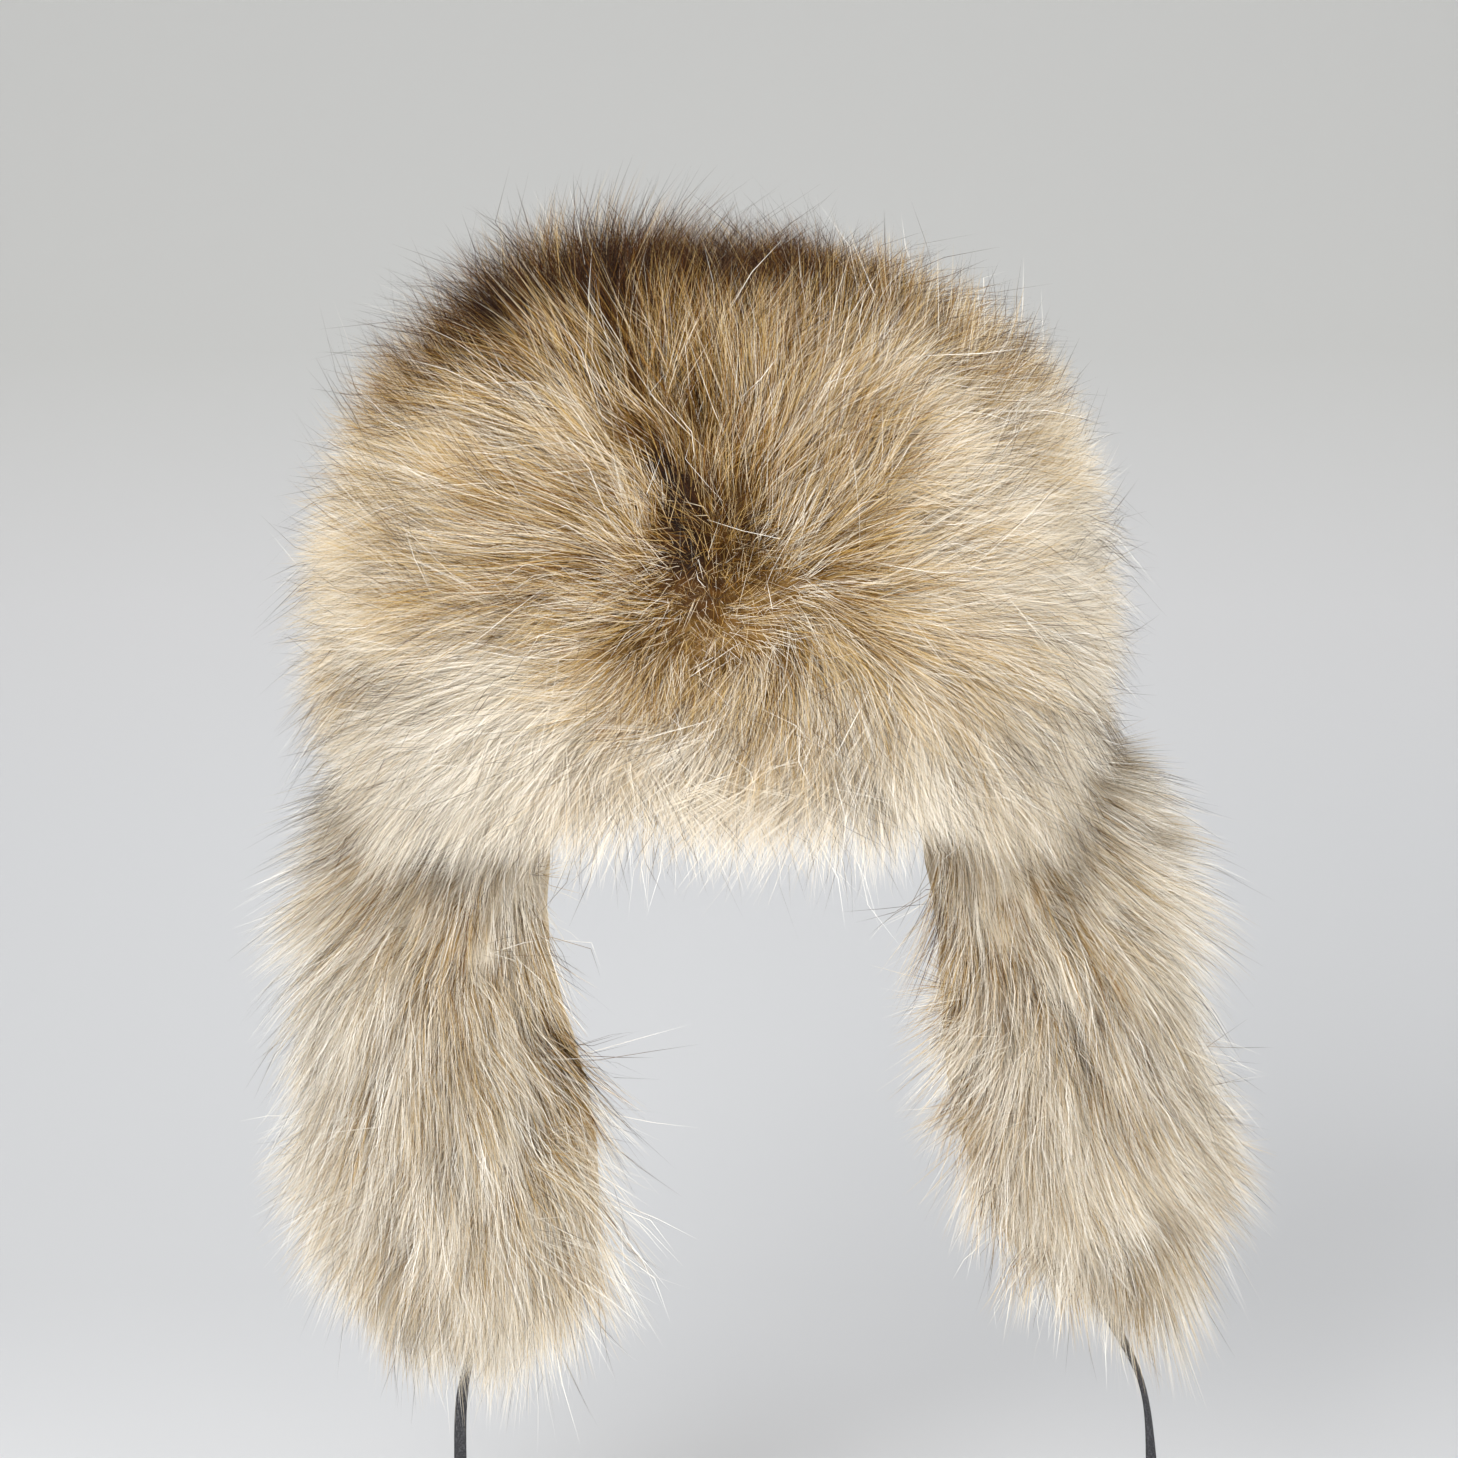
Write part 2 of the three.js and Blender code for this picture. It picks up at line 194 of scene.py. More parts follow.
def crown_surface(turn, down):
    """Points of the hollow's wall, at turns in degrees from the front and shares of the way down."""
    angle = np.radians(turn)
    reach = curve_through(CROWN_ROWS[:, 0], CROWN_ROWS[:, 1], down)
    drop = curve_through(CROWN_ROWS[:, 0], CROWN_ROWS[:, 2], down)
    height = HOLLOW["height"] + HOLLOW["nape_drop"] * (1 - np.cos(angle)) / 2
    return MM * np.stack(
        [
            HOLLOW["width"] / 2 * reach * np.sin(angle),
            -HOLLOW["length"] / 2 * reach * np.cos(angle),
            -height * drop,
        ],
        axis=-1,
    )


def ear_surface(ear):
    """The function that gives points of an ear flap's hide."""
    side, rows = ear["side"], ear["rows"]

    def surface(across, down):
        turn = side * (EAR_TURNS[0] + (EAR_TURNS[1] - EAR_TURNS[0]) * across)
        rim = crown_surface(turn, np.ones_like(down)) / MM
        edge = rim * (1 + WALL / HOLLOW["width"])
        width, out, fore, face, bow = (curve_through(rows[:, 0], rows[:, k], down) for k in range(1, 6))
        face = np.radians(face)
        slide = (across - 0.5) * width * ear["width"]
        bulge = bow * ear["width"] * (0.5 - (2 * across - 1) ** 2)
        x = side * (out * HOLLOW["width"] / 2 + slide * np.sin(face) + bulge * np.cos(face))
        y = fore * HOLLOW["length"] / 2 + slide * np.cos(face) - bulge * np.sin(face)
        share = smooth(0, EAR_BLEND, down)
        return MM * np.stack(
            [
                edge[..., 0] + (x - edge[..., 0]) * share,
                edge[..., 1] + (y - edge[..., 1]) * share,
                rim[..., 2] - GAP - ear["length"] * down,
            ],
            axis=-1,
        )

    return surface


def frames(surface, side, wide, a, d):
    """Points of a surface with the ways out of it, down it and across it."""
    step = 0.002
    low = np.clip(d, 0.02, 0.998)
    along = unit(surface(a, low + step) - surface(a, low))
    across = unit(surface(a + wide, low) - surface(a - wide, low))
    out = unit(np.cross(along, across)) * side
    return surface(a, d), out, along, across


# The ties: flat strips that turn a little as they hang. Their routes are the part's.
TIE = {"width": 4.8, "thickness": 1.7, "steps": 26, "sides": 14, "end": 0.55}
TIE_ROUNDING = {"wide": 0.5, "thick": 0.8}  # 1 is an ellipse, less is squarer
TIE_ROUTES = {
    "right": {
        "points": [
            (-93.5, 6.5, -323.2),
            (-94.7, 7.9, -339.1),
            (-102.7, 7.9, -374.6),
            (-103.7, 7.9, -410),
        ],
        "turns": (65, 80, 35, 10),
    },
    "left": {
        "points": [
            (130.4, 9.4, -314.4),
            (133.7, 8.8, -330.3),
            (153.7, 8.8, -370.2),
            (158.7, 8.8, -410),
        ],
        "turns": (15, -10, 70, 20),
    },
}


def along_points(points, count):
    """Evenly placed points on a smooth line through these points, and their places from 0 to 1."""
    points = np.array(points, float) * MM
    steps = np.concatenate([[0], np.cumsum(np.linalg.norm(np.diff(points, axis=0), axis=1))])
    places = steps / steps[-1]
    at = np.linspace(0, 1, count)
    return np.stack([curve_through(places, points[:, k], at) for k in range(3)], axis=1), at, places


def make_mesh(name, points, faces, uv=None):
    mesh = bpy.data.meshes.new(name)
    mesh.from_pydata([tuple(p) for p in points], [], faces)
    if uv is not None:
        layer = mesh.uv_layers.new(name="OFBake")
        corners = np.array([i for f in faces for i in f])
        layer.data.foreach_set("uv", np.asarray(uv, np.float32)[corners].ravel())
    mesh.update()
    made = bpy.data.objects.new(name, mesh)
    scene.collection.objects.link(made)
    return made


def tie_piece(name, route):
    """A flat strip along its route, and the points of its middle line."""
    line, at, places = along_points(route["points"], TIE["steps"])
    angle = np.radians(curve_through(places, route["turns"], at))
    sides = TIE["sides"]
    points = []
    for k, (middle, turn) in enumerate(zip(line, angle)):
        wide = np.array([math.cos(turn), math.sin(turn), 0])
        thick = np.array([-math.sin(turn), math.cos(turn), 0])
        shrink = TIE["end"] if k in (0, len(line) - 1) else 1
        for s in range(sides):
            c, n = math.cos(2 * math.pi * s / sides), math.sin(2 * math.pi * s / sides)
            u = math.copysign(abs(c) ** TIE_ROUNDING["wide"], c) * TIE["width"] / 2
            v = math.copysign(abs(n) ** TIE_ROUNDING["thick"], n) * TIE["thickness"] / 2
            points.append(middle + MM * shrink * (wide * u + thick * v))
    faces = []
    for k in range(len(line) - 1):
        for s in range(sides):
            n = (s + 1) % sides
            faces.append((k * sides + s, k * sides + n, (k + 1) * sides + n, (k + 1) * sides + s))
    faces.append(tuple(range(sides))[::-1])
    faces.append(tuple((len(line) - 1) * sides + s for s in range(sides)))
    made = make_mesh(name, points, faces)
    for polygon in made.data.polygons:
        polygon.use_smooth = len(polygon.vertices) == 4
    return made, line


def node_material(name, roughness, specular):
    made = bpy.data.materials.new(name)
    made.use_nodes = True
    shader = made.node_tree.nodes["Principled BSDF"]
    shader.inputs["Roughness"].default_value = roughness
    shader.inputs["Specular IOR Level"].default_value = specular
    return made, made.node_tree.nodes, made.node_tree.links, shader


def ramp(nodes, stops):
    made = nodes.new("ShaderNodeValToRGB")
    band = made.color_ramp
    while len(band.elements) < len(stops):
        band.elements.new(0.5)
    for element, (place, colour) in zip(band.elements, stops):
        element.position = place
        element.color = linear(*colour)
    return made


def tie_material():
    made, nodes, links, shader = node_material("tie_leather", 0.5, 0.4)
    place = nodes.new("ShaderNodeTexCoord")
    grain = nodes.new("ShaderNodeTexVoronoi")
    grain.inputs["Scale"].default_value = 1400
    links.new(place.outputs["Object"], grain.inputs["Vector"])
    colours = ramp(nodes, [(0.0, (20, 20, 23)), (0.45, (32, 32, 36)), (0.8, (66, 66, 70))])
    links.new(grain.outputs["Distance"], colours.inputs["Fac"])
    links.new(colours.outputs["Color"], shader.inputs["Base Color"])
    bump = nodes.new("ShaderNodeBump")
    bump.inputs["Strength"].default_value = 0.5
    bump.inputs["Distance"].default_value = 0.0003
    links.new(grain.outputs["Distance"], bump.inputs["Height"])
    links.new(bump.outputs["Normal"], shader.inputs["Normal"])
    return made


dark = tie_material()
for side, route in TIE_ROUTES.items():
    piece, line = tie_piece(f"tie_{side}_strip", route)
    piece.data.materials.append(dark)
    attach(piece, "root")
    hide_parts(f"tie_{side}")
    length = float(np.linalg.norm(np.diff(line, axis=0), axis=1).sum())
    tuple(float(c) for c in line[0])
    [tuple(float(c) for c in p) for p in line]


# Fur colour. A strand carries its tint in u, from black-brown at 0 to ivory at 1, and its
# length in v, from root to tip.
TIPS = [
    (0.0, (30, 16, 8)),
    (0.12, (88, 46, 15)),
    (0.25, (145, 99, 36)),
    (0.4, (195, 160, 90)),
    (0.55, (216, 190, 142)),
    (0.68, (224, 210, 185)),
    (0.8, (233, 224, 208)),
    (0.92, (242, 235, 222)),
    (1.0, (252, 249, 242)),
]
# Roots are darker than tips: partly the hair's own banding, partly painted shade deep in the fur and in
# the gaps between tufts.
ROOTS = [
    (0.0, (20, 11, 6)),
    (0.25, (62, 38, 13)),
    (0.4, (95, 65, 27)),
    (0.55, (142, 108, 60)),
    (0.68, (187, 163, 129)),
    (0.8, (213, 200, 176)),
    (1.0, (238, 229, 212)),
]
GUARD_END = (66, 48, 34)  # the dark end of guard hair


def fur_material(name, dark_tips):
    made, nodes, links, shader = node_material(name, 0.6, 0.08)
    uv = nodes.new("ShaderNodeUVMap")
    uv.uv_map = "OFBake"
    split = nodes.new("ShaderNodeSeparateXYZ")
    links.new(uv.outputs["UV"], split.inputs[0])
    tips, roots = ramp(nodes, TIPS), ramp(nodes, ROOTS)
    grow = ramp(nodes, [(0.22, (0, 0, 0)), (0.88, (255, 255, 255))])
    mix = nodes.new("ShaderNodeMix")
    mix.data_type = "RGBA"
    links.new(split.outputs["X"], tips.inputs["Fac"])
    links.new(split.outputs["X"], roots.inputs["Fac"])
    links.new(split.outputs["Y"], grow.inputs["Fac"])
    links.new(grow.outputs["Color"], mix.inputs["Factor"])
    links.new(roots.outputs["Color"], mix.inputs["A"])
    links.new(tips.outputs["Color"], mix.inputs["B"])
    out = mix.outputs["Result"]
    if dark_tips:
        end = ramp(nodes, [(0.4, (0, 0, 0)), (0.8, (255, 255, 255))])
        links.new(split.outputs["Y"], end.inputs["Fac"])
        dark = ramp(nodes, [(0.93, (255, 255, 255)), (0.96, (0, 0, 0))])
        links.new(split.outputs["X"], dark.inputs["Fac"])
        both = nodes.new("ShaderNodeMath")
        both.operation = "MULTIPLY"
        links.new(end.outputs["Color"], both.inputs[0])
        links.new(dark.outputs["Color"], both.inputs[1])
        last = nodes.new("ShaderNodeMix")
        last.data_type = "RGBA"
        last.inputs["B"].default_value = linear(*GUARD_END)
        links.new(both.outputs["Value"], last.inputs["Factor"])
        links.new(out, last.inputs["A"])
        out = last.outputs["Result"]
    links.new(out, shader.inputs["Base Color"])
    return made


# Tints of the crown's fur by soft spots: x, y, z and reach in millimetres, then the tint.
CROWN_TINTS = [
    (-16, -150, -57, 11, 0.14),
    (-34, -147, -70, 10, 0.28),
    (4, -150, -40, 18, 0.26),
    (-26, -140, -22, 14, 0.2),
    (-13, -150, -95, 26, 0.43),
    (-46, -130, -14, 20, 0.44),
    (0, -130, 0, 22, 0.3),
    (-85, -110, 4, 30, 0.57),
    (-66, -120, -50, 26, 0.5),
    (-104, -100, -50, 30, 0.58),
    (-152, -40, -74, 36, 0.68),
    (-118, -90, -118, 34, 0.84),
    (-56, -140, -145, 24, 0.85),
    (-3, -150, -140, 22, 0.73),
    (-40, -150, -112, 22, 0.62),
    (32, -150, -62, 26, 0.44),
    (48, -130, -4, 26, 0.5),
    (97, -110, -23, 38, 0.7),
    (138, -50, -53, 36, 0.82),
    (77, -130, -93, 30, 0.62),
    (77, -130, -130, 24, 0.8),
    (-60, -95, 30, 18, 0.32),
    (-20, -98, 34, 18, 0.36),
    (20, -98, 34, 18, 0.46),
    (60, -95, 30, 22, 0.68),
    (-72, -44, 46, 28, -0.14),
    (-34, -50, 56, 26, -0.14),
    (8, -50, 58, 26, -0.1),
    (44, -50, 54, 26, -0.04),
    (84, -44, 42, 26, 0.46),
    (0, 50, 55, 60, 0.2),
    (-90, 60, 0, 60, 0.45),
    (90, 60, 0, 60, 0.55),
    (0, 150, -50, 70, 0.42),
    (0, 140, -140, 60, 0.66),
    (-130, 60, -110, 60, 0.7),
    (130, 60, -110, 60, 0.76),
]


def crown_tint(points):
    """The tint of the crown's hair by where it ends, with painted shade along the furrow."""
    near, _ = furrow_side(points)
    marks = 0.05 * ripple(points * np.array([1, 1, 0.7]), 0.03, 11)
    marks = marks * smooth(0.05, -0.02, points[:, 1])
    plain, faint = 0.6, 1e-6  # the tint far from every spot, and how little it weighs
    total, weight = np.zeros(len(points)), np.full(len(points), faint)
    for x, y, z, reach, tint in CROWN_TINTS:
        far = np.linalg.norm(points / MM - np.array([x, y, z]), axis=1)
        pull = hill(far, 0, reach) / reach
        total += pull * tint
        weight += pull
    return (total + faint * plain) / weight + marks - FURROW_SHADE * near[:, 0]


EAR_TINT = {"base": 0.79, "large": 0.1, "small": 0.14, "inner": 0.24, "least": 0.34, "most": 0.97}


def ear_tint(points):
    """Patches of tint, longer than wide, calmer at the lower end, with painted shade along the edge by
    the face.
    """
    stretched = points * np.array([1, 1, 0.5])
    large, small = ripple(stretched, 0.05, 5), ripple(stretched, 0.014, 6)
    patches = EAR_TINT["large"] * large + EAR_TINT["small"] * small
    z = points[:, 2]
    # painted shade: the tint is lowered along the flaps' edge by the face, where a head would shade
    # them, down to near the bottom
    inner = smooth(0.12, 0.08, np.abs(points[:, 0])) * smooth(-0.15, -0.19, z)
    inner = inner * smooth(-0.29, -0.24, z)
    low = smooth(-0.25, -0.31, z)
    tint = EAR_TINT["base"] + patches * (1 - 0.5 * low) - EAR_TINT["inner"] * inner
    return np.clip(tint, EAR_TINT["least"], EAR_TINT["most"])


# How the hair runs. The front's hair spreads from a whorl, parts at a furrow that climbs from it,
# and hangs more steeply below a line that falls away to the left of the picture.
WHORL = np.array([-0.016, -0.150, -0.058])
FURROW = (np.array([-0.015, -0.150, -0.046]), np.array([-0.042, -0.118, 0.018]))
FURROW_REACH = 0.009
# painted shade: the crown's tint is lowered by this much in the furrow, where the parted hair shades
# its roots
FURROW_SHADE = 0.24
FURROW_PARTS = 0.7
TANGLE = {"at": np.array([0.048, -0.125, 0.0]), "reach": 0.028, "mess": 0.35}
SECTORS = {"count": 6, "middle": math.radians(142), "draw": 0.12}
HANG = {"slope": 0.36, "over": 0.045}
HAIR_OUT = 0.06  # the crown's hair is steered by where it is this far out
CROWN_SWEEP = {"whorl": 0.14, "beyond": 0.4}
# How high the crown's hair stands, in shares of the fur's depth, and what places add or take.
CROWN_RISE = {
    "whorl": 0.68,
    "beyond": 0.18,
    "furrow": 0.12,
    "lower_edge": 0.08,
    "right_side": 0.09,
    "right_crest": 0.11,
    "right_shoulder": 0.08,
    "middle": 0.09,
}
EAR_FAN = {"even": 0.25, "edge": 0.35}
EAR_SWEEP = {"middle": 0.68, "low": 0.02, "high": 0.3}
EAR_RISE = {"middle": 1.0, "high": 0.2, "front_edge": 0.3, "back_edge": 0.12, "low": 0.42}
EAR_MESS = 0.06


def furrow_side(points):
    """How near points lie to the furrow, from 0 to 1, and the way away from it."""
    low, high = (end * np.array([1, 0, 1]) for end in FURROW)
    flat = points * np.array([1, 0, 1])
    line = high - low
    share = np.clip(dot(flat - low, line) / (line @ line), 0, 1)
    away = flat - (low + share * line)
    far = np.linalg.norm(away, axis=1, keepdims=True)
    near = hill(far, 0, FURROW_REACH) * smooth(0.03, -0.05, points[:, 1:2])
    return near, away / np.maximum(far, 1e-4)


def turn_about_front(vectors, angle):
    """Vectors turned in the plane that the front faces."""
    x, y, z = vectors.T
    turned_x, turned_z = x * np.cos(angle) - z * np.sin(angle), x * np.sin(angle) + z * np.cos(angle)
    return np.stack([turned_x, y, turned_z], axis=1)


def crown_run(points, out, along, across, a, d):
    """The way that the crown's hair lies, how far it sweeps, how deep it stands and how messy it is."""
    outer = points + out * HAIR_OUT
    away = outer - WHORL
    far = np.linalg.norm(away, axis=1, keepdims=True)
    hang_from = WHORL[2] - HANG["slope"] * np.maximum(WHORL[0] - outer[:, 0:1], 0)
    below = smooth(0, HANG["over"], hang_from - outer[:, 2:3])
    near, aside = furrow_side(outer)
    behind = smooth(-0.02, 0.07, points[:, 1:2])
    angle = np.arctan2(away[:, 2], away[:, 0])
    drawn = -SECTORS["draw"] * np.sin(SECTORS["count"] * (angle - SECTORS["middle"]))
    away = turn_about_front(away, drawn)
    front = unit(away) + below * np.array([0, 0, -1]) + FURROW_PARTS * near * aside
    run = unit(front) * (1 - behind) + along * behind
    run = unit(run - out * dot(run, out))
    lively = smooth(0.0, 0.085, far)[:, 0]
    edge = smooth(0.6, 1.0, d)
    x, y, z = points.T
    share = CROWN_RISE
    rise = (share["whorl"] + share["beyond"] * lively) * (1 - share["furrow"] * near[:, 0])
    rise -= share["lower_edge"] * edge
    rise += share["right_side"] * smooth(0.0, 0.07, -x)
    rise += share["right_crest"] * hill(x, -0.044, 0.024) * smooth(-0.05, -0.01, z)
    shoulder = share["right_shoulder"] * smooth(0.05, 0.08, -x) * smooth(0.0, -0.05, z)
    rise += shoulder * smooth(-0.13, -0.08, z)
    rise -= share["middle"] * hill(x, 0.012, 0.045) * smooth(-0.05, 0, z)
    tangle = TANGLE["mess"] * hill(np.linalg.norm(outer - TANGLE["at"], axis=1), 0, TANGLE["reach"])
    mess = hill(far[:, 0], 0, 0.024) + tangle
    return run, CROWN_SWEEP["whorl"] + CROWN_SWEEP["beyond"] * lively, rise, mess


def ear_run(points, out, along, across, a, d):
    """How an ear flap's hair lies: down, and out to both edges. The rest is as for the crown."""
    fan = (2 * a - 1)[:, None]
    run = unit(along + across * (EAR_FAN["even"] * fan + EAR_FAN["edge"] * fan**3))
    low = smooth(0.75, 1.0, d)
    high = smooth(0.22, 0.0, d)
    less = np.where(a < 0.5, EAR_RISE["front_edge"], EAR_RISE["back_edge"])
    rise = EAR_RISE["middle"] + EAR_RISE["high"] * high - less * (fan[:, 0] ** 2)
    rise -= EAR_RISE["low"] * low
    sweep = EAR_SWEEP["middle"] - EAR_SWEEP["low"] * low - EAR_SWEEP["high"] * high
    return run, sweep, rise, np.full(len(a), EAR_MESS)


def thick(points):
    """How thickly strands stand, by how far back they are."""
    return 1 - 0.55 * smooth(0.0, 0.08, points[..., 1])


@dataclass
class Region:
    """A stretch of hide that fur grows from."""

    surface: object  # points of the hide by a place across and a place down
    side: int  # 1 or -1, for which side of the surface is out
    wide: float  # a small step across
    ranges: list  # parts of the surface: from and to across, from and to down
    depth: float  # of the fur
    raise_by: float  # from the surface to the hide's outer side
    run: object  # how the hair lies at points of the hide
    tint: object  # its tint by where it ends
    taper: object  # the fur's depth, in shares of the full depth
    extra: object  # hair that is longer than its place asks for
    pull: float  # how far a tuft's tips draw together
    lean: float = 0.0  # how far tips lean along x
    vary: float = 1.0  # how much strands differ in tint

    def frame(self, a, d):
        return frames(self.surface, self.side, self.wide, a, d)

    def scatter(self, count, rng):
        """Places spread over the stretch's area, fewer of them behind."""
        steps = 60
        picked = []
        cells = []
        for a0, a1, d0, d1 in self.ranges:
            a, d = np.meshgrid(np.linspace(a0, a1, steps + 1), np.linspace(d0, d1, steps + 1))
            grid = self.surface(a, d)
            u, v = grid[:-1, 1:] - grid[:-1, :-1], grid[1:, :-1] - grid[:-1, :-1]
            area = (np.linalg.norm(np.cross(u, v), axis=-1) * thick(grid[:-1, :-1])).ravel()
            corner = a[:-1, :-1].ravel(), d[:-1, :-1].ravel()
            cells.append((*corner, (a1 - a0) / steps, (d1 - d0) / steps, area))
        total = sum(c[4].sum() for c in cells)
        for a, d, wa, wd, area in cells:
            n = int(round(count * area.sum() / total))
            at = rng.choice(len(area), n, p=area / area.sum())
            picked.append(np.stack([a[at] + wa * rng.random(n), d[at] + wd * rng.random(n)], axis=1))
        picked = np.concatenate(picked)
        return picked[:, 0], picked[:, 1]


def crown_taper(a, d):
    return np.ones_like(d)


def ear_taper(a, d):
    """The fur's depth as a share of the full depth: less towards a flap's free edges."""
    return 0.3 + 0.7 * smooth(0, 0.3, np.minimum(np.minimum(a, 1 - a), 1 - d))


def crown_extra(a, d):
    return np.zeros_like(d)


EAR_LONGER = 0.38


def ear_extra(slant):
    """Hair longer than its place asks for: along the front edge, and to one side of the lower edge."""

    def extra(a, d):
        front = EAR_LONGER * hill(d, 0.7, 0.18) * smooth(0.4, 0.05, a)
        return front + slant * smooth(0.5, 0.9, d) * (1.7 * a - 1.05)

    return extra


CROWN = {
    "surface": crown_surface,
    "side": 1,
    "wide": 1.0,
    "run": crown_run,
    "tint": crown_tint,
    "taper": crown_taper,
    "extra": crown_extra,
    "pull": 0.34,
    "lean": -0.003,
}
regions = {
    "front_flap": Region(
        ranges=[(-FLAP_TURN, FLAP_TURN, FLAP_TOP, 1)],
        depth=0.064,
        raise_by=(2 * WALL + GAP) * MM,
        **CROWN,
    ),
    "crown": Region(
        ranges=[(0, 360, 0.0, FLAP_TOP), (FLAP_TURN, 360 - FLAP_TURN, FLAP_TOP, 1)],
        depth=0.068,
        raise_by=WALL * MM,
        **CROWN,
    ),
}
for side, ear in EARS.items():
    regions[f"ear_flap_{side}"] = Region(
        surface=ear_surface(ear),
        side=ear["side"],
        wide=0.004,
        ranges=[(0, 1, 0.0, 1)],
        depth=0.056,
        raise_by=WALL / 2 * MM,
        run=ear_run,
        tint=ear_tint,
        taper=ear_taper,
        extra=ear_extra(ear["slant"]),
        pull=0.38,
        vary=1.8,
    )


def nearest(points, centres):
    """For each point, the index of the nearest centre."""
    tree = kdtree.KDTree(len(centres))
    for i, c in enumerate(centres):
        tree.insert(c, i)
    tree.balance()
    return np.array([tree.find(p)[1] for p in points])


BOX, OVER = np.array(cad_box), 0.017  # no strand ends further than this outside the solids' box
ROOT_AT = 0.4  # strands start this share of the fur's depth above the hide, inside the undercoat
TINT_OUT, TINT_ALONG = 0.9, 0.4  # a strand's tint is that of this place, in shares of the fur's depth
CLUMPS = (
    # size, turn, stretch, shade
    (0.012, 0.36, 0.14, 0.06),
    (0.0035, 0.3, 0.12, 0.07),
)
LOCK_PULL = 0.16
ROOTS_UP = (0.75, 1.05)  # strands start between these shares of ROOT_AT
TURN = {"each": 0.2, "tangled": 1.3, "large": 0.28, "small": 0.36}
LENGTH = {"each": 0.12, "least": 0.55, "most": 1.3}
LOOSE = {"bend": 0.07, "apart": 0.07, "tangled": 0.1, "curl": 0.06}
DARK_HAIR = {"share": 0.55, "by": -0.26}
LIGHT_HAIR = {"by": 0.34, "most": 0.92, "ivory": 0.98}


def strands(region, count, seed, stray=0.0, long=1.0, knots=3, light=0.0):
    """Paths of strands: points (strand, knot, 3), the way out of the hide, and the tint."""
    rng = np.random.default_rng(seed)
    a, d = region.scatter(count, rng)
    skin, out, along, across = region.frame(a, d)
    run, sweep, rise, mess = region.run(skin, out, along, across, a, d)
    count = len(a)
    turned = np.zeros(count)
    scale = np.ones(count)
    tint = region.tint(skin + out * region.depth * TINT_OUT + run * region.depth * TINT_ALONG)
    owner = []
    for size, angle, stretch, shade in CLUMPS:
        # about one guide for each patch of this size
        spread = np.ptp(skin, axis=0)
        patches = int(1.6 * (spread[0] * spread[2] + spread[1] * spread[2]) / size**2)
        guides = max(20, min(count // 4, patches))
        pick = rng.choice(count, guides, replace=False)
        own = nearest(skin, skin[pick])
        turned += rng.normal(0, angle, guides)[own]
        scale *= 1 + rng.normal(0, stretch, guides)[own]
        tint = tint + rng.normal(0, shade, guides)[own] * (1.5 - tint)
        owner.append(pick[own])
    turned += rng.normal(0, TURN["each"] + stray, count) + rng.normal(0, TURN["tangled"], count) * mess
    turned += TURN["large"] * ripple(skin, 0.06, 21) + TURN["small"] * ripple(skin, 0.022, 22)
    side = unit(np.cross(out, run))
    run = run * np.cos(turned)[:, None] + side * np.sin(turned)[:, None]
    deep = region.depth * region.taper(a, d)
    scale = scale * rng.normal(1, LENGTH["each"] + stray * 0.3, count)
    scale = np.clip(scale, LENGTH["least"], LENGTH["most"]) * long
    start = region.raise_by + deep * ROOT_AT * rng.uniform(*ROOTS_UP, count)
    extra = region.extra(a, d)
    tall = (deep * (rise - ROOT_AT * 0.9) + region.depth * 0.4 * extra) * scale
    reach = region.depth * (sweep + 0.45 * extra) * scale
    t = np.linspace(0, 1, knots)
    up = t * (1.3 - 0.3 * t)
    over = t**1.55
    path = (
        skin[:, None]
        + out[:, None] * (start[:, None, None] + tall[:, None, None] * up[None, :, None])
        + run[:, None] * (reach[:, None, None] * over[None, :, None])
    )
    bend = rng.normal(0, LOOSE["bend"] + stray * 0.4, count) * region.depth
    path += side[:, None] * (bend[:, None, None] * (t**2)[None, :, None])
    loose = region.depth * (LOOSE["apart"] + LOOSE["tangled"] * mess + stray * 0.3)
    for way in (side, run):
        apart = rng.normal(0, 1, count) * loose
        path += way[:, None] * (apart[:, None, None] * (t**1.5)[None, :, None])
    curl = rng.normal(0, LOOSE["curl"], count) * region.depth * (0.6 + 2 * mess + 3 * stray)
    path += side[:, None] * (curl[:, None, None] * np.sin(2 * math.pi * t)[None, :, None])
    path[:, :, 0] += region.lean * t[None, :]
    # strands of a tuft draw together towards their tips
    for own, pull in ((owner[1], region.pull), (owner[0], LOCK_PULL)):
        guide = path[own]
        path += (guide - path) * (pull * t**1.3)[None, :, None] * (1 - min(stray * 2, 0.8))
    # strands, and patches of them, are made darker or lighter, the more so the darker the fur: partly
    # the coat's mixed hairs, partly painted shade and painted highlight among the strands
    contrast = np.clip(1.06 - tint, 0.12, 0.7) * (0.35 + 0.65 * smooth(-0.1, 0.35, tint)) * region.vary
    tint = tint + contrast * (0.2 * ripple(skin, 0.017, 31) + 0.12 * ripple(skin, 0.008, 32))
    shift = np.where(rng.random(count) < DARK_HAIR["share"], DARK_HAIR["by"], LIGHT_HAIR["by"])
    tint = tint + (shift + rng.normal(0, 0.14, count)) * contrast
    pale = light * smooth(0.4, 0.7, tint)
    tint = np.where(rng.random(count) < pale, LIGHT_HAIR["ivory"], np.minimum(tint, LIGHT_HAIR["most"]))
    return path, out, np.clip(tint, 0.01, 0.99)


SPIN = 1.1  # how much strands differ in the way that their flat side faces, in radians
WIDTHS = {"front": 0.92, "behind": 0.4, "least": 0.7, "most": 1.4, "less_at_tip": 0.35}
SHADE_OUT, SHADE_FACE = 0.45, 0.75  # a strand's shading is partly the hide's and partly its own


